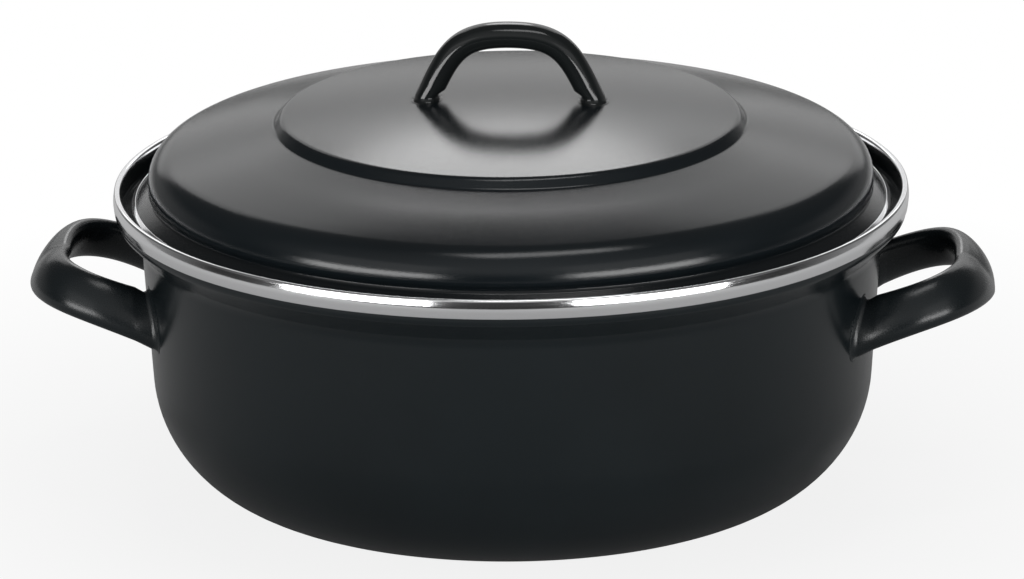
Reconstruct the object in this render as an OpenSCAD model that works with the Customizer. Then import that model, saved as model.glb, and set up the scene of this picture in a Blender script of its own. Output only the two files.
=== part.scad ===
// Enamelled steel dutch oven: a deep-drawn pot with a flared mouth and two loop handles,
// and a stepped, domed lid with an arched handle. Stainless bands are crimped over both rims.
// The pot stands on Z = 0, its axis is Z and its handles lie along X.

/* [Pot] */
// Height from the base to the top of the pot's rim band
pot_h = 120; // [100:1:160]
// Outer diameter of the pot's rim band, its widest circle
rim_d = 304; // [260:1:360]
// How far the rim stands out past the top of the wall
rim_overhang = 10.6; // [8:0.1:16]
// Depth from the rim's top to the bend where the wall turns out
flare_drop = 19.2; // [17:0.1:26]
// Slope of the flared mouth above the horizontal
flare_angle = 45; // [35:1:50]
// Bend radius between the wall and the flared mouth
flare_r = 9; // [3:0.5:12]
// Bend radius between the flared mouth and the upright lip
lip_r = 3; // [1:0.5:4]
// Lean of the wall, wider at the top
wall_draft = 4; // [0:0.5:8]
// Radius of the rounded bottom corner
corner_r = 49.5; // [20:0.5:60]
// Thickness of the pot's enamelled sheet
pot_t = 1.4; // [1:0.1:2.4]

/* [Stainless bands] */
// Thickness of the stainless strip
band_t = 0.4; // [0.3:0.05:0.7]
// Height of the pot band's outer face
pot_band_h = 7.4; // [5:0.1:9]
// Length of the short leg that grips the far side of the sheet
band_leg = 1.9; // [1.2:0.1:3]
// How far the pot band's outer face bulges
band_bulge = 0.5; // [0:0.1:1]
// Clearance between a band and the sheet that it grips
band_gap = 0.05; // [0.02:0.01:0.15]

/* [Lid] */
// Thickness of the lid's enamelled sheet
lid_t = 1.2; // [0.8:0.1:2]
// Ring-shaped space between the pot's lip and the lid's edge
lid_play = 5.9; // [5:0.1:9]
// Gap left between the lid's band and the flared mouth that carries it
lid_seat_gap = 0.25; // [0.1:0.05:0.6]
// Height of the turned-down edge of the lid
lid_edge_h = 6.4; // [5:0.1:12]
// Width of the sloping skirt outside the dome
skirt_w = 6.4; // [3:0.1:9]
// Slope of the skirt below the horizontal
skirt_angle = 33; // [25:1:50]
// How deep the neck is drawn in under the dome
neck_in = 1.7; // [0.8:0.1:3]
// Bend radius of the neck
neck_r = 2.4; // [1:0.1:4]
// Slope of the dome's underside, from the neck out to the dome's widest circle
neck_angle = 60; // [45:1:75]
// Radius of the dome's shoulder
shoulder_r = 12; // [6:0.5:18]
// Slope of the outer half of the crown
crown_outer_angle = 15.2; // [10:0.1:22]
// Slope of the inner half of the crown
crown_inner_angle = 12.8; // [8:0.1:20]
// Diameter of the raised disc in the middle
disc_d = 174; // [120:1:200]
// Rise of the disc's middle over its edge
disc_crown = 6; // [1:0.5:10]
// Height of the step around the disc
step_h = 3.8; // [1.5:0.1:7]
// Width of the step around the disc
step_w = 3; // [1.5:0.1:6]
// Bend radius at the top and the foot of the step
step_r = 3; // [0.5:0.1:4]

/* [Side handles] */
// Depth from the rim's top to the middle of the handle's root
handle_drop = 44.1; // [38:0.1:60]
// Reach of the strap's middle past the pot's wall
handle_reach = 37.4; // [32:0.1:56]
// Distance between the middles of the two arms at the wall
handle_w = 76; // [60:1:110]
// How much further apart the arms are where they start to bend
handle_spread = 4.4; // [0:0.1:8]
// Slope at which the loop rises away from the wall
handle_rise = 23; // [0:0.1:30]
// How far the outer end sinks back from that slope
handle_dip = 8.6; // [0:0.1:12]
// Height of the strap at the wall
strap_root_h = 22; // [16:0.5:28]
// Height of the strap halfway along an arm
strap_arm_h = 18.8; // [12:0.4:24]
// Height of the strap at the outer end
strap_end_h = 21; // [12:0.5:26]
// Thickness of the strap
strap_t = 9.6; // [5:0.2:11]
// Lean of the strap's upper edge towards the pot, at the wall
strap_root_lean = 25; // [0:1:32]
// Lean of the strap's upper edge towards the pot, at the outer end
strap_end_lean = 40; // [0:1:44]

/* [Lid handle] */
// Distance between the middles of the two feet
bow_w = 63.5; // [44:0.5:90]
// Height of the arch's middle line over its feet
bow_h = 25.8; // [20:0.2:40]
// Width of the arch's section, front to back
bow_strap_w = 12.5; // [9:0.5:20]
// Depth of the arch's section, from its inner to its outer face
bow_strap_t = 9.8; // [5:0.2:12]

/* [Welds] */
// Radius of the enamelled weld around each handle's feet
weld_r = 2.2; // [1:0.1:3]
// Gap left between a handle's foot and the sheet that it is welded to
weld_gap = 0.15; // [0.05:0.05:0.4]

/* [Hidden] */
turn_fn = 180;
bend_step = 7;
bend_run = 9;
ring_points = 24;
ring_steps = 12;
roundness = 2.3;

// Bend radius of a band's folds, which the cut edge of the sheet stays clear of
fold_r = 0.8;
// Bend radius of the pot band's bulge, and its place as a share of the band's height from the rim
bulge_r = 9;
bulge_at = 0.48;
// Bend radii under the dome's widest circle, at the lid's edge and between the crown's two slopes
under_r = 3;
edge_r = 1;
crown_bend_r = 420;
// Shapes of the handles' middle lines, as shares of their own length, width or height
arm_stiffness = 0.52;
end_squareness = 0.95;
arch_foot_x = 0.365;
arch_foot_z = 0.74;
arch_top_x = 0.31;

// Places on the pot, as radius and height of the middle of its sheet
rim_r = rim_d / 2;
band_off = band_gap + band_t / 2;
pot_lip = rim_r - band_bulge - band_t / 2 - band_off - pot_t / 2;
wall_r = rim_r - rim_overhang - pot_t / 2;
flare_z = pot_h - flare_drop;
flare_top_z = flare_z + (pot_lip - wall_r) * tan(flare_angle);
foot_r = wall_r - (flare_z - pot_t / 2) * tan(wall_draft);
function wall_mid(z) = wall_r - (flare_z - z) * tan(wall_draft);
function wall_face(z) = wall_mid(z) + pot_t / 2 / cos(wall_draft);

// Places on the lid, as radius and height of the middle of its sheet
lid_edge_r = pot_lip - lid_play;
lid_fold_off = lid_t / 2 + band_off;
fold_mid_r = lid_edge_r + lid_fold_off - fold_r;
seat_off = pot_t / 2 + fold_r + band_t / 2 + lid_seat_gap;
fold_z = flare_z + (seat_off + (fold_mid_r - wall_r) * sin(flare_angle)) / cos(flare_angle);
lid_band_z = fold_z - fold_r;
lid_edge_z = lid_band_z + fold_r;
skirt_z = lid_edge_z + lid_edge_h;
dome_r = lid_edge_r - skirt_w;
neck_z = skirt_z + (skirt_w + neck_in) * tan(skirt_angle);
under_z = neck_z + neck_in * tan(neck_angle);
bulge_z = under_z + under_r * tan((90 - neck_angle) / 2);
shoulder_z = bulge_z + shoulder_r * tan((90 - crown_outer_angle) / 2);
disc_r = disc_d / 2;
step_foot_r = disc_r + step_w;
crown_r = (step_foot_r + dome_r) / 2;
crown_z = shoulder_z + (dome_r - crown_r) * tan(crown_outer_angle);
step_foot_z = crown_z + (crown_r - step_foot_r) * tan(crown_inner_angle);
disc_z = step_foot_z + step_h;
ball_r = (disc_r * disc_r + disc_crown * disc_crown) / (2 * disc_crown);
ball_drop = sqrt(ball_r * ball_r - disc_r * disc_r);
disc_edge_angle = asin(disc_r / ball_r);
function disc_mid(r) = disc_z + sqrt(ball_r * ball_r - r * r) - ball_drop;

// Rounds the corners of a line given as [x, y, bend radius]; a bend is eased where its legs are short
function unit(v) = v / norm(v);
function flat(p) = [p[0], p[1]];
function bend_turn(a, p, b) = acos(max(-1, min(1, unit(p - a) * unit(b - p))));
function bend_leg(line, i) =
    let (a = flat(line[i - 1]), p = flat(line[i]), b = flat(line[i + 1]))
    line[i][2] * tan(bend_turn(a, p, b) / 2);
function end_leg(line, i) = i < 1 || i > len(line) - 2 ? 0 : bend_leg(line, i);
function leg_share(line, i) =
    let (both = end_leg(line, i) + end_leg(line, i + 1))
    both == 0 ? 1 : min(1, norm(flat(line[i + 1]) - flat(line[i])) / both);
function bend(line, i) =
    let (a = flat(line[i - 1]), p = flat(line[i]), b = flat(line[i + 1]))
    let (turn = bend_turn(a, p, b))
    let (ease = min(leg_share(line, i - 1), leg_share(line, i)))
    let (r = line[i][2] * ease * 0.999)
    let (u = unit(p - a), v = unit(b - p))
    let (side = u[0] * v[1] - u[1] * v[0] < 0 ? -1 : 1)
    let (start = p - u * r * tan(turn / 2))
    let (n = [-u[1], u[0]] * side)
    let (steps = max(ceil(turn / bend_step), ceil(r * turn * PI / 180 / bend_run)))
    r < 0.01 ? [p] : [for (k = [0 : steps])
        let (w = turn * k / steps)
        start + n * r * (1 - cos(w)) + u * r * sin(w)];
function rounded(line) = concat(
    [flat(line[0])],
    [for (i = [1 : len(line) - 2]) each bend(line, i)],
    [flat(line[len(line) - 1])]);

// Moves a line sideways, to its left when off is above 0, with each run kept parallel to itself
function run(line, i) =
    let (k = max(0, min(i, len(line) - 2)))
    unit(line[k + 1] - line[k]);
function beside(line, off) = [for (i = [0 : len(line) - 1])
    let (u = run(line, i - 1), v = run(line, i))
    let (side = [-u[1] - v[1], u[0] + v[0]] / (1 + u * v))
    line[i] + side * off];
function reversed(line) = [for (i = [len(line) - 1 : -1 : 0]) line[i]];

// A turned sheet of one thickness along a line
module sheet(line, t) {
    rotate_extrude($fn = turn_fn)
        polygon(concat(beside(line, t / 2), reversed(beside(line, -t / 2))));
}

pot_band_top = pot_h - band_t / 2;
pot_line = rounded([
    [0, pot_t / 2, 0],
    [foot_r, pot_t / 2, corner_r - pot_t / 2],
    [wall_r, flare_z, flare_r],
    [pot_lip, flare_top_z, lip_r],
    [pot_lip, pot_band_top - fold_r, 0]]);

pot_band_in = pot_lip - pot_t / 2 - band_off;
pot_band_out = pot_lip + pot_t / 2 + band_off;
pot_band_line = rounded([
    [pot_band_in, pot_h - band_leg, 0],
    [pot_band_in, pot_band_top, fold_r],
    [pot_band_out, pot_band_top, fold_r],
    [pot_band_out + band_bulge, pot_h - pot_band_h * bulge_at, bulge_r],
    [pot_band_out, pot_h - pot_band_h, 0]]);

lid_line = rounded([
    [0, disc_z + disc_crown, 0],
    [ball_r * tan(disc_edge_angle / 2), disc_z + disc_crown, ball_r],
    [disc_r, disc_z, step_r],
    [step_foot_r, step_foot_z, step_r],
    [crown_r, crown_z, crown_bend_r],
    [dome_r, shoulder_z, shoulder_r],
    [dome_r, under_z, under_r],
    [dome_r - neck_in, neck_z, neck_r],
    [lid_edge_r, skirt_z, edge_r],
    [lid_edge_r, lid_edge_z, 0]]);

skirt_down = [cos(skirt_angle), -sin(skirt_angle)];
skirt_out = [sin(skirt_angle), cos(skirt_angle)];
lid_fold = [lid_edge_r, skirt_z];
lid_corner = lid_fold + lid_fold_off * [1, tan((90 - skirt_angle) / 2)];
lid_curl = lid_fold - skirt_down * band_leg + skirt_out * lid_fold_off;
lid_band_line = rounded([
    [lid_curl[0], lid_curl[1], 0],
    [lid_corner[0], lid_corner[1], edge_r + lid_fold_off],
    [lid_edge_r + lid_fold_off, lid_band_z, fold_r],
    [lid_edge_r - lid_fold_off, lid_band_z, fold_r],
    [lid_edge_r - lid_fold_off, lid_band_z + band_leg, 0]]);

// A closed skin over a row of rings, capped at each end by a fan around its own point
module skin(rings, start, end) {
    n = len(rings[0]);
    m = len(rings);
    sides = [for (i = [0 : m - 2], j = [0 : n - 1], half = [0, 1])
        let (k = (j + 1) % n)
        half == 0 ? [i * n + j, (i + 1) * n + j, (i + 1) * n + k]
                  : [i * n + j, (i + 1) * n + k, i * n + k]];
    caps = [for (j = [0 : n - 1], far = [0, 1])
        let (k = (j + 1) % n)
        far == 0 ? [m * n, j, k] : [m * n + 1, (m - 1) * n + k, (m - 1) * n + j]];
    polyhedron(points = concat([for (r = rings) each r], [start, end]),
        faces = concat(sides, caps), convexity = 6);
}

// A rounded section about the point at, with half sizes a along u and b along v
function bulged(x) = sign(x) * pow(abs(x), 2 / roundness);
function section(at, u, v, a, b) = [for (j = [0 : ring_points - 1])
    let (w = 360 * j / ring_points)
    at + a * bulged(cos(w)) * u + b * bulged(sin(w)) * v];

// A smooth curve of four guide points, and its direction
function curve(g, t) = pow(1 - t, 3) * g[0] + 3 * pow(1 - t, 2) * t * g[1]
    + 3 * (1 - t) * t * t * g[2] + pow(t, 3) * g[3];
function curve_dir(g, t) = unit(pow(1 - t, 2) * (g[1] - g[0])
    + 2 * (1 - t) * t * (g[2] - g[1]) + t * t * (g[3] - g[2]));

// The weld's profile: how far it swells at a height over the sheet
weld_heights = [0, 0.16, 0.45, 1];
function weld_swell(s) = weld_r * (1 - sqrt(1 - pow(1 - s, 2)));

// Side handle: one half of the strap's middle line, seen from above, from the wall to the outer end
root_z = pot_h - handle_drop;
root_y = handle_w / 2;
root_x = sqrt(pow(wall_face(root_z), 2) - root_y * root_y);
end_x = wall_face(root_z) + handle_reach;
arm_run = (end_x - root_x) * arm_stiffness;
handle_guide = [
    [root_x, root_y],
    [root_x + arm_run, root_y + handle_spread],
    [end_x, (root_y + handle_spread) * end_squareness],
    [end_x, 0]];
function thirds(t, a, b, c) = a * (1 - t) * (1 - 2 * t) + 4 * b * t * (1 - t) + c * t * (2 * t - 1);
function strap_section(t, swell) =
    let (p = curve(handle_guide, t), d = curve_dir(handle_guide, t))
    let (out = [-d[1], d[0], 0])
    let (lean = strap_root_lean + (strap_end_lean - strap_root_lean) * t)
    let (z = root_z + (p[0] - root_x) * tan(handle_rise) - handle_dip * t * t)
    section([p[0], p[1], z],
        [0, 0, cos(lean)] - out * sin(lean),
        out * cos(lean) + [0, 0, sin(lean)],
        thirds(t, strap_root_h, strap_arm_h, strap_end_h) / 2 + swell,
        strap_t / 2 + swell);
function on_wall(p, off) =
    [sqrt(pow(wall_face(p[2]) + weld_gap + off, 2) - p[1] * p[1]), p[1], p[2]];
handle_weld = [for (s = weld_heights)
    [for (p = strap_section(0, weld_swell(s))) on_wall(p, s * weld_r)]];
arm_start = 0.1;
handle_half = concat(handle_weld, [for (k = [0 : ring_steps])
    strap_section(arm_start + (1 - arm_start) * k / ring_steps, 0)]);
function across(ring) = [for (p = ring) [p[0], -p[1], p[2]]];
handle_rings = concat(handle_half,
    [for (i = [len(handle_half) - 2 : -1 : 0]) across(handle_half[i])]);

module side_handle() {
    foot = on_wall([0, root_y, root_z], 0);
    skin(handle_rings, foot, [foot[0], -foot[1], foot[2]]);
}

// Lid handle: one half of the arch's middle line, seen from the front, from a foot to the top
function disc_face(r) = disc_mid(r) + lid_t / 2;
bow_foot_z = disc_face(bow_w / 2);
bow_guide = [
    [bow_w / 2, bow_foot_z],
    [bow_w * arch_foot_x, bow_foot_z + bow_h * arch_foot_z],
    [bow_w * arch_top_x, bow_foot_z + bow_h],
    [0, bow_foot_z + bow_h]];
function bow_section(t, swell) =
    let (p = curve(bow_guide, t), d = curve_dir(bow_guide, t))
    section([p[0], 0, p[1]], [0, 1, 0], [d[1], 0, -d[0]],
        bow_strap_w / 2 + swell, bow_strap_t / 2 + swell);
function on_disc(p, off) = [p[0], p[1], disc_face(norm([p[0], p[1]])) + weld_gap + off];
bow_weld = [for (s = weld_heights)
    [for (p = bow_section(0, weld_swell(s))) on_disc(p, s * weld_r)]];
bow_start = 0.12;
bow_half = concat(bow_weld, [for (k = [0 : ring_steps])
    bow_section(bow_start + (1 - bow_start) * k / ring_steps, 0)]);
function over(ring) = [for (p = ring) [-p[0], p[1], p[2]]];
bow_rings = concat(bow_half,
    [for (i = [len(bow_half) - 2 : -1 : 0]) over(bow_half[i])]);

// Pressed and drawn from one sheet, black enamel inside and out
module pot_body() {
    color("#25292a") sheet(pot_line, pot_t);
}

// Polished strip folded over the pot's lip
module pot_band() {
    color("#c9cacb") sheet(pot_band_line, band_t);
}

module handle_left() {
    color("#25292a") rotate([0, 0, 180]) side_handle();
}

module handle_right() {
    color("#25292a") side_handle();
}

// Pressed from one sheet: raised disc, crown, shoulder, neck, skirt and turned-down edge
module lid() {
    color("#2b2e30") sheet(lid_line, lid_t);
}

// Polished strip folded around the lid's edge
module lid_band() {
    color("#c9cacb") sheet(lid_band_line, band_t);
}

module lid_handle() {
    foot = on_disc([bow_w / 2, 0, 0], 0);
    color("#1d2021") skin(bow_rings, foot, [-foot[0], foot[1], foot[2]]);
}

pot_body();
pot_band();
handle_left();
handle_right();
lid();
lid_band();
lid_handle();
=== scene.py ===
# %% [markdown]
# A black enamelled dutch oven, dressed around its fixed frame.
#
# The object has seven pieces: a deep-drawn steel pot, its two loop handles, the lid, the lid's
# arched handle, and the two stainless strips that are folded over the sheets' cut edges. The frame
# holds all of them at their real size, and its turned sheets have flat facets in their bends.
# Gloss shows every facet, so each piece is made here once more as a smooth mesh in the same place.

# %% Load the frame
import math

import bmesh
import bpy
from mathutils import Matrix, Vector


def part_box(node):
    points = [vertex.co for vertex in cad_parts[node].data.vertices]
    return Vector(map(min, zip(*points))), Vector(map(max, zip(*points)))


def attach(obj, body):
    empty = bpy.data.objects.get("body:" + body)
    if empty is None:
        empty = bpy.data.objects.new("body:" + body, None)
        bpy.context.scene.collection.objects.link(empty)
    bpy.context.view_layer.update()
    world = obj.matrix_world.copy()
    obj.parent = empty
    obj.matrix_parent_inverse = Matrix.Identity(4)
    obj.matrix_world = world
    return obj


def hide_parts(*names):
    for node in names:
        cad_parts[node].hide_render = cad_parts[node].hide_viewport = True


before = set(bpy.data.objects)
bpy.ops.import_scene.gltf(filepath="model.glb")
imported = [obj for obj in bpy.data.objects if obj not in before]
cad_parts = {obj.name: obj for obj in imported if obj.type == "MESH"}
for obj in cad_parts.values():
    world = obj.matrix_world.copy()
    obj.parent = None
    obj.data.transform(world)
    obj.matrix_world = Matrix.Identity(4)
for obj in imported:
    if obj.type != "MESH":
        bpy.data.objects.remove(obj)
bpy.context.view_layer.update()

MM = 0.001
scene = bpy.context.scene
print("frame nodes:", sorted(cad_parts))

# %% [markdown]
# The camera. The photograph was taken from far away with a long lens: the rims of the pot and of
# the lid are almost perfect ellipses. Their width to depth ratio gives the height of the view,
# 17 degrees above the horizon, and the right handle shows a little more of its front, so the
# camera stands 4 degrees round to the right. The picture also leans by half a degree.

# %% Camera
VIEW_AZIMUTH = math.radians(4.07)
VIEW_ELEVATION = math.radians(17.0)
VIEW_LEAN = math.radians(-0.58)
VIEW_DISTANCE = 5.0
LOOK_AT = Vector((0, 0, 0.078))
SENSOR_WIDTH = 36
FAR_CLIP = 50
PHOTO_WIDTH = 1024
METRES_PER_PIXEL = 0.0003825


def direction(azimuth, elevation):
    """Unit vector from the object, azimuth from the front towards +X, both angles in radians."""
    flat = math.cos(elevation)
    return Vector((math.sin(azimuth) * flat, -math.cos(azimuth) * flat, math.sin(elevation)))


camera_data = bpy.data.cameras.new("camera")
camera_data.sensor_width = SENSOR_WIDTH
camera_data.lens = SENSOR_WIDTH * VIEW_DISTANCE / (PHOTO_WIDTH * METRES_PER_PIXEL)
camera_data.clip_end = FAR_CLIP
camera = bpy.data.objects.new("camera", camera_data)
scene.collection.objects.link(camera)
towards_eye = direction(VIEW_AZIMUTH, VIEW_ELEVATION)
camera.location = LOOK_AT + towards_eye * VIEW_DISTANCE
lean = Matrix.Rotation(VIEW_LEAN, 4, "Z")
camera.rotation_euler = (towards_eye.to_track_quat("Z", "Y").to_matrix().to_4x4() @ lean).to_euler()
scene.camera = camera
print("lens:", round(camera_data.lens, 1), "mm")

# %% [markdown]
# The pot and the lid are pressed from flat sheet, so every point of them has the same thickness.
# The natural way to draw such a piece is its middle line, seen from the side: straight runs joined
# by round bends. The pen below draws it as a row of edges. A run is one extruded vertex, and a
# bend is a vertex spun about the bend's centre, which gives a true arc with as many short steps
# as its turn needs. A full spin about the pot's axis then makes the surface, and a Solidify
# modifier gives it the sheet's thickness on both sides of the middle line. A short first and last
# run, EDGE_HOLD millimetres long, keeps the shading of the cut edges clean.

# %% A pen for profiles
BEND_STEP = math.radians(5)
BEND_RUN = 3 * MM
TURN_STEPS = 240
EDGE_HOLD = 0.15
SAME_PLACE = 2e-6
MERGE = 1e-7


def run_to(bm, pen, point):
    """Draws a straight run from the vertex pen and returns the vertex at its end."""
    if (pen.co - point).length < SAME_PLACE:
        return pen
    made = bmesh.ops.extrude_vert_indiv(bm, verts=[pen])
    made["verts"][0].co = point
    return made["verts"][0]


def bend_to(bm, pen, into, out, radius):
    """Spins the vertex pen round a bend that turns the direction into to the direction out."""
    inwards = (out - into * out.dot(into)).normalized()
    turn = into.angle(out)
    steps = max(math.ceil(turn / BEND_STEP), math.ceil(turn * radius / BEND_RUN))
    spun = bmesh.ops.spin(bm, geom=[pen], cent=pen.co + inwards * radius,
                          axis=into.cross(out).normalized(), angle=turn, steps=steps)
    return next(v for v in spun["geom_last"] if isinstance(v, bmesh.types.BMVert))


def draw_profile(bm, corners):
    """Draws a line through corners of radius, height and bend radius, all in millimetres."""
    points = [Vector((r, 0, z)) * MM for r, z, _ in corners]
    pen = bm.verts.new(points[0])
    pen = run_to(bm, pen, points[0].lerp(points[1], EDGE_HOLD * MM / (points[1] - points[0]).length))
    for i in range(1, len(points) - 1):
        into = (points[i] - points[i - 1]).normalized()
        out = (points[i + 1] - points[i]).normalized()
        radius = corners[i][2] * MM
        pen = run_to(bm, pen, points[i] - into * radius * math.tan(into.angle(out) / 2))
        pen = bend_to(bm, pen, into, out, radius)
    last_run = points[-1] - points[-2]
    pen = run_to(bm, pen, points[-1] - last_run.normalized() * EDGE_HOLD * MM)
    run_to(bm, pen, points[-1])


def finish_piece(bm, name, slot, *nodes):
    """Turns a bmesh into a smooth piece that stands for the nodes and rides on the object."""
    mesh = bpy.data.meshes.new(name)
    for face in bm.faces:
        face.smooth = True
    bm.to_mesh(mesh)
    bm.free()
    piece = bpy.data.objects.new(name, mesh)
    scene.collection.objects.link(piece)
    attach(piece, "root")
    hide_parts(*nodes)
    return piece


def turned_sheet(name, node, slot, corners, thickness):
    """A sheet of one thickness, turned about the pot's axis from the profile of its middle line."""
    bm = bmesh.new()
    draw_profile(bm, corners)
    bmesh.ops.spin(bm, geom=bm.verts[:] + bm.edges[:], cent=(0, 0, 0), axis=(0, 0, 1),
                   angle=math.tau, steps=TURN_STEPS, use_merge=True)
    bmesh.ops.remove_doubles(bm, verts=bm.verts[:], dist=MERGE)
    bmesh.ops.recalc_face_normals(bm, faces=bm.faces[:])
    piece = finish_piece(bm, name, slot, node)
    wall = piece.modifiers.new("sheet thickness", "SOLIDIFY")
    wall.thickness = thickness * MM
    wall.offset = 0
    wall.use_even_offset = True
    wall.use_quality_normals = True
    print(name, len(piece.data.polygons), "faces in the middle of the sheet")
    return piece


# %% [markdown]
# The pot. Its rim and its height come from the frame, and the rest are the sizes of the pressing:
# a flat base, a wide round corner, a wall that leans out by 4 degrees, a mouth flared at 45
# degrees and a short upright lip that the stainless strip grips.

# %% Sizes of the pot
rim_r = max(v.co.to_2d().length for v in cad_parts["pot_band"].data.vertices) / MM
pot_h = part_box("pot_band")[1].z / MM
POT_T = 1.4
RIM_OVERHANG = 10.6
FLARE_DROP = 19.2
FLARE_ANGLE = math.radians(45)
FLARE_R = 9
LIP_R = 3
WALL_DRAFT = math.radians(4)
CORNER_R = 49.5
BAND_T = 0.4
BAND_LEG = 1.9
BAND_BULGE = 0.5
BAND_GAP = 0.05
BAND_H = 7.4
BULGE_R = 9
BULGE_AT = 0.48
FOLD_R = 0.8

band_off = BAND_GAP + BAND_T / 2
band_top = pot_h - BAND_T / 2
lip_r = rim_r - BAND_BULGE - BAND_T / 2 - band_off - POT_T / 2
wall_r = rim_r - RIM_OVERHANG - POT_T / 2
flare_z = pot_h - FLARE_DROP
flare_top_z = flare_z + (lip_r - wall_r) * math.tan(FLARE_ANGLE)
foot_r = wall_r - (flare_z - POT_T / 2) * math.tan(WALL_DRAFT)
print("rim radius", round(rim_r, 2), "height", round(pot_h, 2), "wall radius", round(wall_r, 2))

# %% [markdown]
# The pot's sheet follows from those sizes. Each corner is a radius, a height and a bend radius.

# %% The pot's sheet
pot = turned_sheet("pot_shell", "pot_body", "pot_enamel", [
    (0, POT_T / 2, 0),
    (foot_r, POT_T / 2, CORNER_R - POT_T / 2),
    (wall_r, flare_z, FLARE_R),
    (lip_r, flare_top_z, LIP_R),
    (lip_r, band_top - FOLD_R, 0)], POT_T)

# %% [markdown]
# The stainless strip over the pot's lip. On the real pot a flat strip is rolled over the rim: a
# short leg inside, a fold over the top and a long outer face that bulges slightly. It is 0.4 mm
# thick, so it is drawn and turned the same way as the pot, a hair outside the sheet.

# %% The pot's rim strip
band_in = lip_r - POT_T / 2 - band_off
band_out = lip_r + POT_T / 2 + band_off
pot_band = turned_sheet("pot_rim_strip", "pot_band", "stainless", [
    (band_in, pot_h - BAND_LEG, 0),
    (band_in, band_top, FOLD_R),
    (band_out, band_top, FOLD_R),
    (band_out + BAND_BULGE, pot_h - BAND_H * BULGE_AT, BULGE_R),
    (band_out, pot_h - BAND_H, 0)], BAND_T)

# %% [markdown]
# The lid. From the middle outwards it has a raised disc that is itself slightly domed, a narrow
# step, a crown in two slopes, a round shoulder, a neck drawn in under the dome, a sloping skirt
# and a turned-down edge that rests in the pot's flared mouth.

# %% Sizes of the lid
LID_T = 1.2
LID_PLAY = 5.9
SEAT_GAP = 0.25
LID_EDGE_H = 6.4
SKIRT_W = 6.4
SKIRT_ANGLE = math.radians(33)
NECK_IN = 1.7
NECK_R = 2.4
NECK_ANGLE = math.radians(60)
UNDER_R = 3
EDGE_R = 1
SHOULDER_R = 12
CROWN_OUTER = math.radians(15.2)
CROWN_INNER = math.radians(12.8)
CROWN_BEND_R = 420
DISC_D = 174
DISC_CROWN = 6
STEP_H = 3.8
STEP_W = 3
STEP_R = 3

edge_r = lip_r - LID_PLAY
fold_off = LID_T / 2 + band_off
fold_mid_r = edge_r + fold_off - FOLD_R
seat_off = POT_T / 2 + FOLD_R + BAND_T / 2 + SEAT_GAP
fold_z = flare_z + (seat_off + (fold_mid_r - wall_r) * math.sin(FLARE_ANGLE)) / math.cos(FLARE_ANGLE)
lid_band_z = fold_z - FOLD_R
skirt_z = fold_z + LID_EDGE_H
dome_r = edge_r - SKIRT_W
neck_z = skirt_z + (SKIRT_W + NECK_IN) * math.tan(SKIRT_ANGLE)
under_z = neck_z + NECK_IN * math.tan(NECK_ANGLE)
bulge_z = under_z + UNDER_R * math.tan((math.pi / 2 - NECK_ANGLE) / 2)
shoulder_z = bulge_z + SHOULDER_R * math.tan((math.pi / 2 - CROWN_OUTER) / 2)
disc_r = DISC_D / 2
step_foot_r = disc_r + STEP_W
crown_r = (step_foot_r + dome_r) / 2
crown_z = shoulder_z + (dome_r - crown_r) * math.tan(CROWN_OUTER)
step_foot_z = crown_z + (crown_r - step_foot_r) * math.tan(CROWN_INNER)
disc_z = step_foot_z + STEP_H
ball_r = (disc_r ** 2 + DISC_CROWN ** 2) / (2 * DISC_CROWN)
apex_z = disc_z + DISC_CROWN
half_dome = math.asin(disc_r / ball_r) / 2
print("lid from", round(lid_band_z, 2), "to", round(apex_z + LID_T / 2, 2), "mm")

# %% [markdown]
# The lid's sheet has ten corners, from the top of the dome to the cut edge.

# %% The lid's sheet
# The dome and the step bend into the same run, so both are a little tight, which leaves them room.
BEND_EASE = 0.972
lid = turned_sheet("lid_shell", "lid", "lid_enamel", [
    (0, apex_z, 0),
    (ball_r * math.tan(half_dome), apex_z, ball_r * BEND_EASE),
    (disc_r, disc_z, STEP_R * BEND_EASE),
    (step_foot_r, step_foot_z, STEP_R),
    (crown_r, crown_z, CROWN_BEND_R),
    (dome_r, shoulder_z, SHOULDER_R),
    (dome_r, under_z, UNDER_R),
    (dome_r - NECK_IN, neck_z, NECK_R),
    (edge_r, skirt_z, EDGE_R),
    (edge_r, fold_z, 0)], LID_T)

# %% [markdown]
# The strip around the lid's edge is folded the other way up: its long face is outside, it wraps
# the cut edge below, and its top curls a little way up the skirt.

# %% The lid's rim strip
skirt_down = Vector((math.cos(SKIRT_ANGLE), -math.sin(SKIRT_ANGLE)))
skirt_out = Vector((math.sin(SKIRT_ANGLE), math.cos(SKIRT_ANGLE)))
lid_fold = Vector((edge_r, skirt_z))
lid_corner = lid_fold + Vector((1, math.tan((math.pi / 2 - SKIRT_ANGLE) / 2))) * fold_off
lid_curl = lid_fold - skirt_down * BAND_LEG + skirt_out * fold_off
lid_band = turned_sheet("lid_rim_strip", "lid_band", "stainless", [
    (lid_curl.x, lid_curl.y, 0),
    (lid_corner.x, lid_corner.y, EDGE_R + fold_off),
    (edge_r + fold_off, lid_band_z, FOLD_R),
    (edge_r - fold_off, lid_band_z, FOLD_R),
    (edge_r - fold_off, lid_band_z + BAND_LEG, 0)], BAND_T)

# %% [markdown]
# The handles. Each one is formed from steel into a loop, welded at its two feet and enamelled
# with the pot, so the enamel runs into a small hollow fillet around each foot. A loop like this
# is a section carried along a curve while it leans and changes its width. Here every section is
# the same unit circle, pulled towards a rounded rectangle, sized, turned and put in place by one
# matrix, and bridged to the section before it. Only half a loop is made, and a mirror makes the
# rest. A curve object with a bevel would be quicker, but it can't lean and taper freely.

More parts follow.
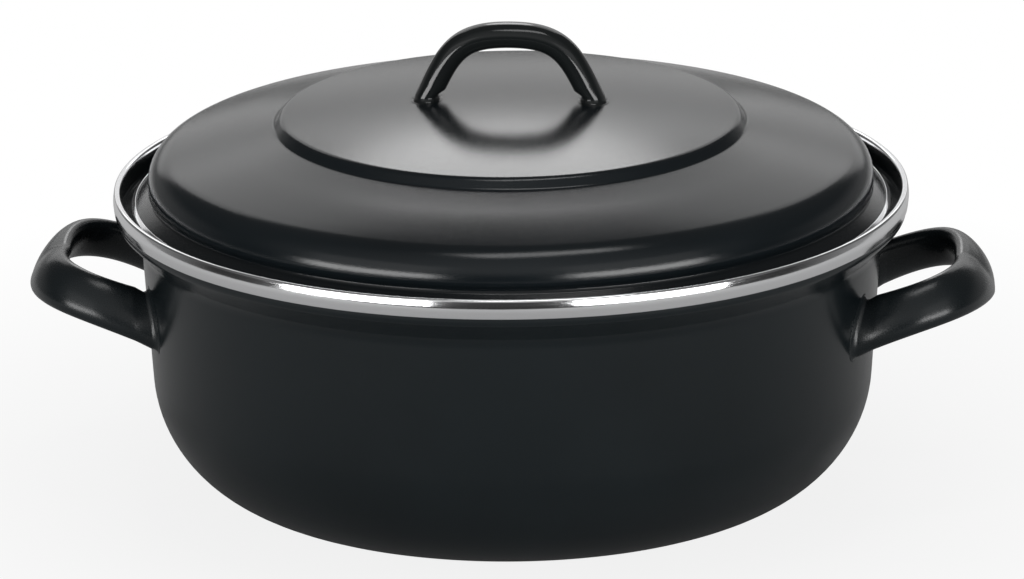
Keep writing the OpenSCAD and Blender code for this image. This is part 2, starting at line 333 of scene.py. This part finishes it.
# %% Sections and skins
ROUNDNESS = 2.1
SECTION_POINTS = 48
LOOP_STEPS = 44
WELD_R = 2.2
WELD_HEIGHTS = (1, 0.72, 0.48, 0.3, 0.16, 0.06, 0)
WELD_SUNK = -0.6
MIRROR_MERGE = 1e-6


def bulged(x):
    """Moves one coordinate of a unit circle's point out towards a rounded square."""
    return math.copysign(abs(x) ** (2 / ROUNDNESS), x)


def add_ring(bm, matrix, place=None):
    """A rounded section of half size 1, put in place by a matrix, then by a rule for its points."""
    made = bmesh.ops.create_circle(bm, cap_ends=False, radius=1, segments=SECTION_POINTS)
    for v in made["verts"]:
        v.co.x = bulged(v.co.x)
        v.co.y = bulged(v.co.y)
    bmesh.ops.transform(bm, matrix=matrix, verts=made["verts"])
    for v in made["verts"] if place else ():
        v.co = place(v.co)
    return list({e for v in made["verts"] for e in v.link_edges})


def section_matrix(centre, across, through, half_across, half_through):
    """The matrix that takes the unit section to its place, all in millimetres."""
    along = across.cross(through)
    columns = [across * half_across, through * half_through, along, centre]
    rows = [[c[i] * MM for c in columns] for i in range(3)]
    return Matrix(rows + [[0, 0, 0, 1]])


def guide_curve(guide, t):
    """A point on the curve of four guide points, and the curve's direction there."""
    a, b, c, d = (Vector(p) for p in guide)
    s = 1 - t
    point = a * s ** 3 + b * 3 * s * s * t + c * 3 * s * t * t + d * t ** 3
    slope = (b - a) * s * s + (c - b) * 2 * s * t + (d - c) * t * t
    return point, slope.normalized()


def weld_swell(height):
    """How far the weld's hollow fillet stands out at a share of its height, in millimetres."""
    return WELD_R * (1 - math.sqrt(1 - (1 - height) ** 2))


def half_loop(section, foot_place, start, mirror_axis):
    """Half a loop from its middle to its welded foot, then mirrored to the other foot."""
    bm = bmesh.new()
    ring = add_ring(bm, section(1, 0))
    rest = [(section(1 - (1 - start) * k / LOOP_STEPS, 0), None) for k in range(1, LOOP_STEPS + 1)]
    for h in WELD_HEIGHTS:
        rest.append((section(0, weld_swell(h)), lambda p, h=h: foot_place(p, h * WELD_R)))
    rest.append((section(0, weld_swell(0)), lambda p: foot_place(p, WELD_SUNK)))
    for matrix, place in rest:
        following = add_ring(bm, matrix, place)
        bmesh.ops.bridge_loops(bm, edges=ring + following)
        ring = following
    cap = bmesh.ops.edgeloop_fill(bm, edges=ring)
    bmesh.ops.poke(bm, faces=cap["faces"])
    bmesh.ops.mirror(bm, geom=bm.verts[:] + bm.edges[:] + bm.faces[:], matrix=Matrix.Identity(4),
                     merge_dist=MIRROR_MERGE, axis=mirror_axis)
    bmesh.ops.remove_doubles(bm, verts=bm.verts[:], dist=MERGE)
    bmesh.ops.recalc_face_normals(bm, faces=bm.faces[:])
    return bm


# %% [markdown]
# The side handles. The strap rises from the wall by 23 degrees and dips again towards its outer
# end, and its upper edge leans back towards the pot, 25 degrees at the wall and 40 at the end.

# %% Side handles
HANDLE_DROP = 44.1
HANDLE_REACH = 37.4
HANDLE_W = 76
HANDLE_SPREAD = 4.4
HANDLE_RISE = math.radians(23)
HANDLE_DIP = 8.6
STRAP_ROOT_H = 22
STRAP_ARM_H = 18.8
STRAP_END_H = 21
STRAP_T = 9.6
ROOT_LEAN = math.radians(25)
END_LEAN = math.radians(40)
ARM_STIFFNESS = 0.52
END_SQUARENESS = 0.95
ARM_START = 0.1


def wall_face(z):
    """The radius of the pot's outer face at a height, in millimetres."""
    return wall_r - (flare_z - z) * math.tan(WALL_DRAFT) + POT_T / 2 / math.cos(WALL_DRAFT)


root_z = pot_h - HANDLE_DROP
root_y = HANDLE_W / 2
root_x = math.sqrt(wall_face(root_z) ** 2 - root_y ** 2)
end_x = wall_face(root_z) + HANDLE_REACH
strap_guide = [(root_x, root_y),
               (root_x + (end_x - root_x) * ARM_STIFFNESS, root_y + HANDLE_SPREAD),
               (end_x, (root_y + HANDLE_SPREAD) * END_SQUARENESS),
               (end_x, 0)]


def strap_section(t, swell):
    """The strap's section at the share t of the way from the wall to the outer end."""
    point, heading = guide_curve(strap_guide, t)
    out = Vector((-heading.y, heading.x, 0))
    lean_angle = ROOT_LEAN + (END_LEAN - ROOT_LEAN) * t
    z = root_z + (point.x - root_x) * math.tan(HANDLE_RISE) - HANDLE_DIP * t * t
    height = (STRAP_ROOT_H * (1 - t) * (1 - 2 * t) + STRAP_ARM_H * 4 * t * (1 - t)
              + STRAP_END_H * t * (2 * t - 1))
    up = Vector((0, 0, math.cos(lean_angle))) - out * math.sin(lean_angle)
    through = out * math.cos(lean_angle) + Vector((0, 0, math.sin(lean_angle)))
    return section_matrix(Vector((point.x, point.y, z)), up, through,
                          height / 2 + swell, STRAP_T / 2 + swell)


def on_wall(p, off):
    """The point of the wall, or off millimetres outside it, that lies level with p."""
    reach = wall_face(p.z / MM) * MM + off * MM
    return Vector((math.sqrt(reach ** 2 - p.y ** 2), p.y, p.z))


def side_handle(name, node, turn):
    bm = half_loop(strap_section, on_wall, ARM_START, "Y")
    bmesh.ops.rotate(bm, verts=bm.verts[:], cent=(0, 0, 0), matrix=Matrix.Rotation(turn, 3, "Z"))
    return finish_piece(bm, name, "pot_enamel", node)


handle_right = side_handle("loop_handle_right", "handle_right", 0)
handle_left = side_handle("loop_handle_left", "handle_left", math.pi)
print("side handle faces:", len(handle_right.data.polygons))

# %% [markdown]
# The lid's arched handle is the same kind of loop, standing on the domed disc.

# %% Lid handle
BOW_W = 63.5
BOW_H = 25.8
BOW_STRAP_W = 12.5
BOW_STRAP_T = 9.8
ARCH_FOOT = Vector((0.365, 0.74))
ARCH_TOP_X = 0.31
BOW_START = 0.12


def disc_face(r):
    """The height of the disc's upper face at a radius, in millimetres."""
    return apex_z + LID_T / 2 - ball_r + math.sqrt(ball_r ** 2 - r ** 2)


bow_z = disc_face(BOW_W / 2)
bow_guide = [(BOW_W / 2, bow_z),
             (BOW_W * ARCH_FOOT.x, bow_z + BOW_H * ARCH_FOOT.y),
             (BOW_W * ARCH_TOP_X, bow_z + BOW_H),
             (0, bow_z + BOW_H)]


def bow_section(t, swell):
    """The arch's section at the share t of the way from a foot to the top."""
    point, heading = guide_curve(bow_guide, t)
    return section_matrix(Vector((point.x, 0, point.y)), Vector((0, 1, 0)),
                          Vector((heading.y, 0, -heading.x)),
                          BOW_STRAP_W / 2 + swell, BOW_STRAP_T / 2 + swell)


def on_disc(p, off):
    """The point of the disc, or off millimetres over it, straight above or below p."""
    return Vector((p.x, p.y, (disc_face(math.hypot(p.x, p.y) / MM) + off) * MM))


lid_handle = finish_piece(half_loop(bow_section, on_disc, BOW_START, "X"),
                          "lid_arch_handle", "handle_enamel", "lid_handle")
print("lid handle faces:", len(lid_handle.data.polygons))

# %% [markdown]
# The finishes. Vitreous enamel is a thin layer of glass fused onto steel. This one is a satin
# black: nearly all of its brightness is a soft reflection, the glass has a faint orange peel a
# couple of millimetres wide, a finer grain of height and roughness, and a pinhole here and there.
# Those effects are one shader node group, which each enamel uses with its own values. It gives
# a colour, a roughness and a height, and each material puts them on its own shader.

# %% A node helper
def add_node(tree, kind, settings=None, **inputs):
    """Adds a node, sets its settings and fills its inputs with values or links."""
    made = tree.nodes.new(kind)
    for key, value in (settings or {}).items():
        setattr(made, key, value)
    for key, value in inputs.items():
        by_place = key[0] == "i" and key[1:].isdigit()
        socket = made.inputs[int(key[1:])] if by_place else made.inputs[key.replace("_", " ")]
        if isinstance(value, bpy.types.NodeSocket):
            tree.links.new(value, socket)
        else:
            socket.default_value = value
    return made


def new_group(name, inputs, outputs):
    """A shader node group with named sockets, its input node and its output node."""
    tree = bpy.data.node_groups.new(name, "ShaderNodeTree")
    for label, kind, value in inputs:
        socket = tree.interface.new_socket(label, in_out="INPUT", socket_type=kind)
        socket.default_value = value
    for label, kind in outputs:
        tree.interface.new_socket(label, in_out="OUTPUT", socket_type=kind)
    return tree, tree.nodes.new("NodeGroupInput").outputs, tree.nodes.new("NodeGroupOutput").inputs


def noise(tree, vector, scale, detail=2.0, roughness=0.5):
    made = add_node(tree, "ShaderNodeTexNoise", Vector=vector, Scale=scale, Detail=detail,
                    Roughness=roughness)
    return made.outputs["Fac"]


def math_node(tree, operation, a, b):
    return add_node(tree, "ShaderNodeMath", {"operation": operation}, i0=a, i1=b).outputs[0]


def remap(tree, value, low, high, to_low, to_high):
    made = add_node(tree, "ShaderNodeMapRange", Value=value, From_Min=low, From_Max=high,
                    To_Min=to_low, To_Max=to_high)
    return made.outputs["Result"]


# %% [markdown]
# The enamel's group. One noise makes soft clouds in the shade and the gloss, two finer ones make
# the peel and the grain, and the cells of a Voronoi texture place the pinholes: the Specks value
# is the share of cells that get one. One even roughness would be simpler, but it looks like
# plastic, and a painted image would have to be unwrapped onto every piece.

# %% The enamel skin group
FLOAT = "NodeSocketFloat"
COLOR = "NodeSocketColor"
# The scales are in features a metre.
CLOUD_SCALE = 16.0
PEEL_SCALE = 420.0
GRAIN_SCALE = 1800.0
SPECK_SCALE = 70.0
SPECK_EDGE = (0.02, 0.035)
CLOUD_SHADE = (0.88, 1.12)
CLOUD_ROUGHNESS = (0.92, 1.08)
GRAIN_ROUGHNESS = (-0.05, 0.05)
NOISE_RANGE = (0.3, 0.7)
ENAMEL_BUMP = 0.00001
ENAMEL_IOR = 1.4
enamel_skin, given, result = new_group(
    "enamel_skin",
    [("Colour", COLOR, (0.01, 0.012, 0.012, 1)), ("Speck Colour", COLOR, (0.1, 0.1, 0.1, 1)),
     ("Roughness", FLOAT, 0.18), ("Peel", FLOAT, 1.0), ("Grain", FLOAT, 1.0), ("Specks", FLOAT, 0.03)],
    [("Colour", COLOR), ("Roughness", FLOAT), ("Height", FLOAT)])
place = enamel_skin.nodes.new("ShaderNodeTexCoord").outputs["Object"]
clouds = noise(enamel_skin, place, CLOUD_SCALE, detail=3.0)
peel = noise(enamel_skin, place, PEEL_SCALE)
grain = noise(enamel_skin, place, GRAIN_SCALE, roughness=0.7)
cells = add_node(enamel_skin, "ShaderNodeTexVoronoi", {"feature": "F1"}, Vector=place,
                 Scale=SPECK_SCALE)
cell_value = add_node(enamel_skin, "ShaderNodeSeparateColor", Color=cells.outputs["Color"]).outputs[0]
chosen = math_node(enamel_skin, "LESS_THAN", cell_value, given["Specks"])
dot = remap(enamel_skin, cells.outputs["Distance"], *SPECK_EDGE, 1.0, 0.0)
speck = math_node(enamel_skin, "MULTIPLY", chosen, dot)
shade = remap(enamel_skin, clouds, *NOISE_RANGE, *CLOUD_SHADE)
shade_colour = add_node(enamel_skin, "ShaderNodeCombineColor", Red=shade, Green=shade, Blue=shade)
clouded = add_node(enamel_skin, "ShaderNodeMix", {"data_type": "RGBA", "blend_type": "MULTIPLY"},
                   i0=1.0, i6=given["Colour"], i7=shade_colour.outputs[0])
speckled = add_node(enamel_skin, "ShaderNodeMix", {"data_type": "RGBA"}, i0=speck,
                    i6=clouded.outputs[2], i7=given["Speck Colour"])
rough_shift = remap(enamel_skin, clouds, *NOISE_RANGE, *CLOUD_ROUGHNESS)
rough_cloud = math_node(enamel_skin, "MULTIPLY", given["Roughness"], rough_shift)
rough_grain = remap(enamel_skin, grain, *NOISE_RANGE, *GRAIN_ROUGHNESS)
peel_height = math_node(enamel_skin, "MULTIPLY", peel, given["Peel"])
grain_height = math_node(enamel_skin, "MULTIPLY", grain, given["Grain"])
height = math_node(enamel_skin, "ADD", peel_height, grain_height)
enamel_skin.links.new(speckled.outputs[2], result["Colour"])
enamel_skin.links.new(math_node(enamel_skin, "ADD", rough_cloud, rough_grain), result["Roughness"])
enamel_skin.links.new(height, result["Height"])
print("the enamel's group has", len(enamel_skin.nodes), "nodes")


def enamel(name, colour, roughness, peel_amount, grain_amount, specks):
    """A satin vitreous enamel with the skin group's colour, roughness and height."""
    material = bpy.data.materials.new(name)
    material.use_nodes = True
    tree = material.node_tree
    shader = tree.nodes["Principled BSDF"]
    skin = add_node(tree, "ShaderNodeGroup", {"node_tree": enamel_skin}, Colour=colour,
                    Roughness=roughness, Peel=peel_amount, Grain=grain_amount, Specks=specks)
    bump = add_node(tree, "ShaderNodeBump", Height=skin.outputs["Height"], Distance=ENAMEL_BUMP,
                    Strength=1.0)
    shader.inputs["IOR"].default_value = ENAMEL_IOR
    tree.links.new(skin.outputs["Colour"], shader.inputs["Base Color"])
    tree.links.new(skin.outputs["Roughness"], shader.inputs["Roughness"])
    tree.links.new(bump.outputs["Normal"], shader.inputs["Normal"])
    return material


pot_enamel = enamel("satin black enamel", (0.005, 0.0078, 0.0092, 1),
                    roughness=0.2, peel_amount=0.8, grain_amount=1.2, specks=0.02)
lid_enamel = enamel("satin black lid enamel", (0.006, 0.0085, 0.0102, 1),
                    roughness=0.17, peel_amount=0.8, grain_amount=2.6, specks=0.04)
side_enamel = enamel("satin black handle enamel", (0.007, 0.0095, 0.0108, 1),
                     roughness=0.25, peel_amount=1.0, grain_amount=2.2, specks=0.0)
handle_enamel = enamel("glossy black enamel", (0.008, 0.0095, 0.0098, 1),
                       roughness=0.12, peel_amount=0.6, grain_amount=0.05, specks=0.0)

# %% [markdown]
# The stainless strips are polished, and the polishing runs along the strip. The group turns the
# place of a point into one that is stretched along the rim, so that a plain noise becomes long
# fine lines, and a slower noise makes the small waves that rolling leaves in thin strip. The
# shader's own anisotropy could smear the highlights too, but it needs tangents, and it shows no lines.

# %% The polished strip
STEEL_COLOUR = (0.845, 0.848, 0.86, 1)
STEEL_ROUGHNESS = 0.1
LINE_STRETCH = 900.0
LINE_ROUGHNESS = (-0.03, 0.05)
LINE_DEPTH = 0.06
LINE_SCALE = 4.0
WAVE_SCALE = 90.0
WAVE_DEPTH = 2.0
STEEL_BUMP = 0.00002
strip_finish, given, result = new_group("strip_finish", [("Roughness", FLOAT, STEEL_ROUGHNESS)],
                                        [("Roughness", FLOAT), ("Height", FLOAT)])
place = strip_finish.nodes.new("ShaderNodeTexCoord").outputs["Object"]
parts = add_node(strip_finish, "ShaderNodeSeparateXYZ", Vector=place).outputs
level = add_node(strip_finish, "ShaderNodeCombineXYZ", X=parts[0], Y=parts[1]).outputs[0]
rim_way = add_node(strip_finish, "ShaderNodeVectorMath", {"operation": "NORMALIZE"}, i0=level)
rim_reach = add_node(strip_finish, "ShaderNodeVectorMath", {"operation": "LENGTH"}, i0=level)
across = math_node(strip_finish, "ADD", math_node(strip_finish, "MULTIPLY", parts[2], LINE_STRETCH),
                   math_node(strip_finish, "MULTIPLY", rim_reach.outputs["Value"], LINE_STRETCH))
line_shift = add_node(strip_finish, "ShaderNodeCombineXYZ", Z=across)
stretched = add_node(strip_finish, "ShaderNodeVectorMath", {"operation": "ADD"},
                     i0=rim_way.outputs[0], i1=line_shift.outputs[0])
lines = noise(strip_finish, stretched.outputs[0], LINE_SCALE, detail=4.0, roughness=0.6)
waves = noise(strip_finish, place, WAVE_SCALE, detail=1.0)
line_roughness = remap(strip_finish, lines, *NOISE_RANGE, *LINE_ROUGHNESS)
roughness = math_node(strip_finish, "ADD", given["Roughness"], line_roughness)
height = math_node(strip_finish, "ADD", math_node(strip_finish, "MULTIPLY", waves, WAVE_DEPTH),
                   math_node(strip_finish, "MULTIPLY", lines, LINE_DEPTH))
strip_finish.links.new(roughness, result["Roughness"])
strip_finish.links.new(height, result["Height"])
print("the strip's group has", len(strip_finish.nodes), "nodes")

stainless = bpy.data.materials.new("polished stainless strip")
stainless.use_nodes = True
tree = stainless.node_tree
finish_group = add_node(tree, "ShaderNodeGroup", {"node_tree": strip_finish},
                        Roughness=STEEL_ROUGHNESS)
bump = add_node(tree, "ShaderNodeBump", Height=finish_group.outputs["Height"], Distance=STEEL_BUMP,
                Strength=1.0)
shader = tree.nodes["Principled BSDF"]
shader.inputs["Base Color"].default_value = STEEL_COLOUR
shader.inputs["Metallic"].default_value = 1.0
tree.links.new(finish_group.outputs["Roughness"], shader.inputs["Roughness"])
tree.links.new(bump.outputs["Normal"], shader.inputs["Normal"])

# %% [markdown]
# Each piece takes its finish, and so does the frame's node that it stands for.

# %% Put the finishes on
for node, piece, material in (
        ("pot_body", pot, pot_enamel), ("pot_band", pot_band, stainless),
        ("handle_left", handle_left, side_enamel), ("handle_right", handle_right, side_enamel),
        ("lid", lid, lid_enamel), ("lid_band", lid_band, stainless),
        ("lid_handle", lid_handle, handle_enamel)):
    for mesh in (piece.data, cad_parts[node].data):
        mesh.materials.clear()
        mesh.materials.append(material)
    print(piece.name, "has", material.name)

# %% [markdown]
# The studio. The pot stands on a pale table. The camera sees the table and all that lies beyond
# it as white, as in the photograph, and close to the pot the table still takes a soft shadow.
# Shiny surfaces see the white as well, as painted light that is weaker and fades out close to the
# pot, where the table's real shadow shows instead. A plain white floor would be simpler, but the
# glossy wall would mirror it and turn grey.

# %% Table and background
TABLE_HALF_WIDTH = 0.75
TABLE_FRONT = -0.62
TABLE_BACK = 2.0
# A hair under the pot's base, so that the two faces don't lie in one plane.
TABLE_TOP = -0.0003
TABLE_GREY = 0.5
# Two distances from the pot's middle in metres, and how much of the white shows at each of them.
SEEN_WHITE = (0.14, 0.4, 0.86, 1.0)
# The white that shiny surfaces see is painted light: none close to the pot, more further out.
MIRRORED_WHITE = (0.2, 0.5, 0.0, 0.28)
bm = bmesh.new()
table_corners = [bm.verts.new((x, y, TABLE_TOP)) for x, y in (
    (-TABLE_HALF_WIDTH, TABLE_FRONT), (TABLE_HALF_WIDTH, TABLE_FRONT),
    (TABLE_HALF_WIDTH, TABLE_BACK), (-TABLE_HALF_WIDTH, TABLE_BACK))]
bm.faces.new(table_corners)
table_mesh = bpy.data.meshes.new("table")
bm.to_mesh(table_mesh)
bm.free()
table = bpy.data.objects.new("table", table_mesh)
scene.collection.objects.link(table)
table_paint = bpy.data.materials.new("pale table")
table_paint.use_nodes = True
tree = table_paint.node_tree
tree.nodes.clear()
matt = add_node(tree, "ShaderNodeBsdfDiffuse", Color=(TABLE_GREY, TABLE_GREY, TABLE_GREY, 1))
white = add_node(tree, "ShaderNodeEmission", Color=(1, 1, 1, 1), Strength=1.0)
ray = tree.nodes.new("ShaderNodeLightPath").outputs
spot = tree.nodes.new("ShaderNodeTexCoord").outputs["Object"]
reach = add_node(tree, "ShaderNodeVectorMath", {"operation": "LENGTH"}, i0=spot).outputs["Value"]
mirrored = math_node(tree, "MAXIMUM", ray["Is Glossy Ray"], ray["Is Transmission Ray"])
seen_share = math_node(tree, "MULTIPLY", ray["Is Camera Ray"], remap(tree, reach, *SEEN_WHITE))
# Painted light that shiny surfaces see on the table, fading out close to the pot.
mirror_share = math_node(tree, "MULTIPLY", mirrored, remap(tree, reach, *MIRRORED_WHITE))
share = math_node(tree, "MAXIMUM", seen_share, mirror_share)
both = add_node(tree, "ShaderNodeMixShader", i0=share, i1=matt.outputs[0], i2=white.outputs[0])
add_node(tree, "ShaderNodeOutputMaterial", Surface=both.outputs[0])
table_mesh.materials.append(table_paint)
print("the table spans", [round(c, 2) for c in table.dimensions], "m")

# %% [markdown]
# The room around it is nearly dark, apart from a wide soft light high up in front. The camera
# sees it as white, and shiny surfaces see a weak white backdrop low down behind the pot.

# %% World light
# Two values of one part of the direction that is looked in, and the light's share at each of them.
FRONT_GLOW = (0.0, -1.0, 0.0, 0.54)
FRONT_RISE = (0.05, 0.35, 0.0, 1.0)
ROOM_GLOW = (-0.1, 1.0, 0.03, 0.15)
BACKDROP = (0.0, 0.5, 0.0, 0.2)
BACKDROP_FALL = (0.1, 0.3, 1.0, 0.0)
world = bpy.data.worlds.new("studio")
scene.world = world
world.use_nodes = True
tree = world.node_tree
tree.nodes.clear()
ray = tree.nodes.new("ShaderNodeLightPath").outputs
heading = tree.nodes.new("ShaderNodeTexCoord").outputs["Generated"]
aim = add_node(tree, "ShaderNodeSeparateXYZ", Vector=heading).outputs
front_up = math_node(tree, "MULTIPLY", remap(tree, aim[1], *FRONT_GLOW),
                     remap(tree, aim[2], *FRONT_RISE))
room = math_node(tree, "ADD", front_up, remap(tree, aim[2], *ROOM_GLOW))
dim = add_node(tree, "ShaderNodeBackground", Color=(1, 1, 1, 1), Strength=room)
bright = add_node(tree, "ShaderNodeBackground", Color=(1, 1, 1, 1), Strength=1.0)
behind = math_node(tree, "MULTIPLY", remap(tree, aim[1], *BACKDROP),
                   remap(tree, aim[2], *BACKDROP_FALL))
mirrored = math_node(tree, "MAXIMUM", ray["Is Glossy Ray"], ray["Is Transmission Ray"])
seen = math_node(tree, "MAXIMUM", ray["Is Camera Ray"], math_node(tree, "MULTIPLY", mirrored, behind))
both = add_node(tree, "ShaderNodeMixShader", i0=seen, i1=dim.outputs[0], i2=bright.outputs[0])
add_node(tree, "ShaderNodeOutputWorld", Surface=both.outputs[0])

# %% [markdown]
# The lamps are soft boxes, placed where the highlights on the lid, the handles and the strips
# say that the real ones stood. Behind the pot there are a small bright one, a wide one around it
# and a weak low one. A small one hangs overhead, and two low ones stand in front to the left and
# right, each with a fainter one over it. One picture of a studio around the scene would do the same
# with less to set, but each lamp here can be moved until its highlight lies where it should.

# %% Soft boxes
LAMP_AIM = Vector((0, 0, 0.1))


def soft_box(name, azimuth, elevation, distance, width, height, radiance, shape="RECTANGLE"):
    """An area lamp that faces the pot, given by the brightness that its reflection would have."""
    data = bpy.data.lights.new(name, "AREA")
    data.shape = shape
    data.size = width
    data.size_y = height
    filled = math.pi / 4 if shape == "ELLIPSE" else 1
    data.energy = radiance * math.pi * width * height * filled
    lamp = bpy.data.objects.new(name, data)
    aim_at = direction(math.radians(azimuth), math.radians(elevation))
    lamp.location = LAMP_AIM + aim_at * distance
    lamp.rotation_euler = aim_at.to_track_quat("Z", "Y").to_euler()
    lamp.visible_camera = False
    scene.collection.objects.link(lamp)


# Azimuth and elevation in degrees, then distance, width and height in metres, then radiance.
soft_box("back_core_box", 184.5, 34.0, 2.2, 0.56, 0.74, 3.3, "ELLIPSE")
soft_box("back_wide_box", 185, 33.5, 2.2, 2.1, 0.98, 1.1)
soft_box("back_low_box", 184, 14, 2.2, 2.4, 0.75, 0.7)
soft_box("top_box", 30, 78, 1.7, 0.9, 0.4, 4.2)
soft_box("front_box_right", 43, 1, 2.2, 1.7, 0.54, 9.0)
soft_box("front_box_left", -40, 1, 2.2, 1.7, 0.54, 9.0)
soft_box("upper_box_right", 43, 22, 2.2, 1.7, 0.9, 0.5)
soft_box("upper_box_left", -40, 22, 2.2, 1.7, 0.9, 0.5)
print("soft boxes:", len(bpy.data.lights))
scene.view_settings.view_transform = "Standard"
